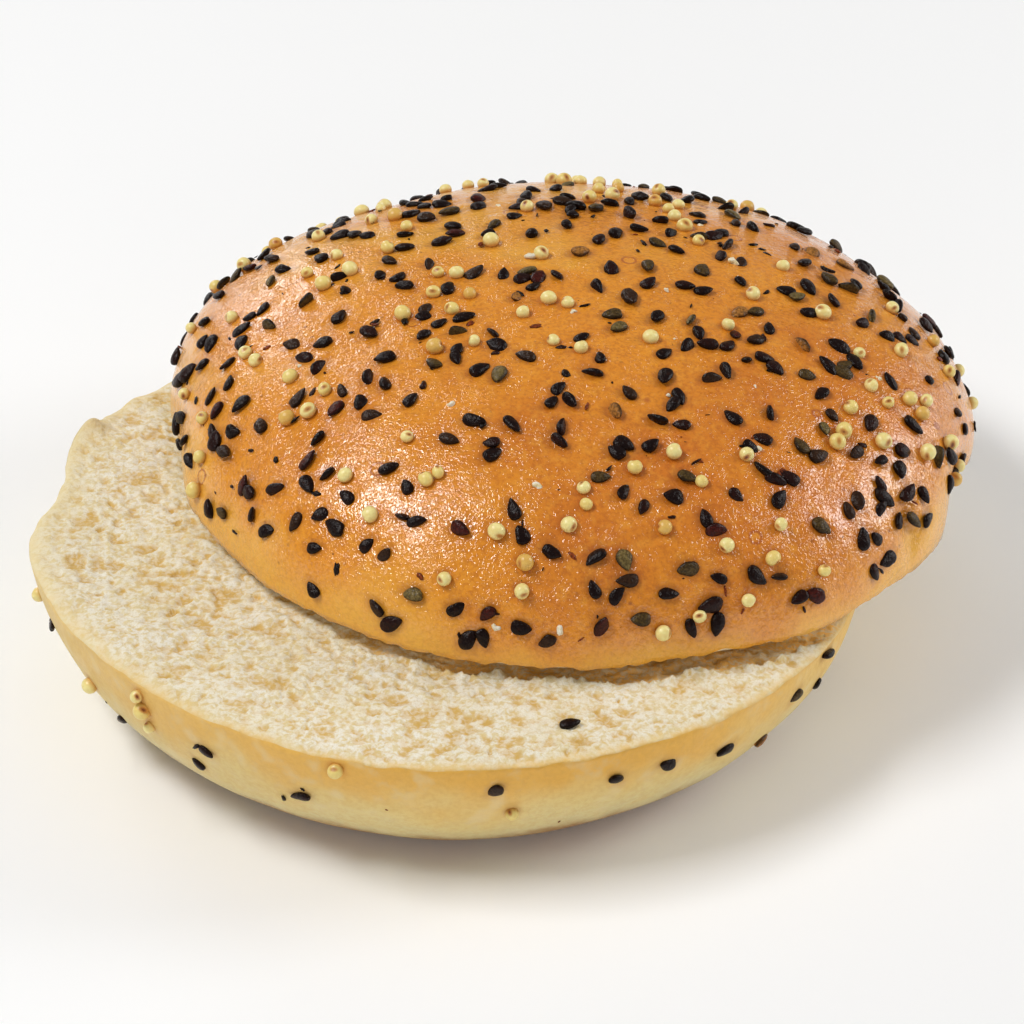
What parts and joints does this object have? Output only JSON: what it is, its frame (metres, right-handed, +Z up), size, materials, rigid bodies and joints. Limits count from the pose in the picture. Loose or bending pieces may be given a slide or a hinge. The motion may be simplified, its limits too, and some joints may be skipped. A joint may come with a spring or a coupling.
{
  "type": "sliced burger bun",
  "caption": "Round burger bun cut in two: a glazed domed crown with black sesame and millet seeds lies askew on a flat-bottomed heel, so that a crescent of open crumb shows.",
  "frame": {"origin": "middle of the heel's flat base, on the surface that the bun stands on", "axes": "+Z up; -Y to the front, where the crumb shows; +X to the right, the way the crown is pushed"},
  "size_m": [0.1259, 0.1287, 0.0487],
  "materials": {
    "crust": "glazed orange-brown bread crust with a fine wrinkled sheen",
    "crumb": "pale cream bread: open porous crumb and a matt golden side crust",
    "sesame": "glossy black sesame with a fine pitted skin",
    "millet": "satin cream-yellow millet with a brown germ spot"
  },
  "bodies": {
    "root": {"crown": "crust", "heel": "crumb"}
  },
  "joints": []
}
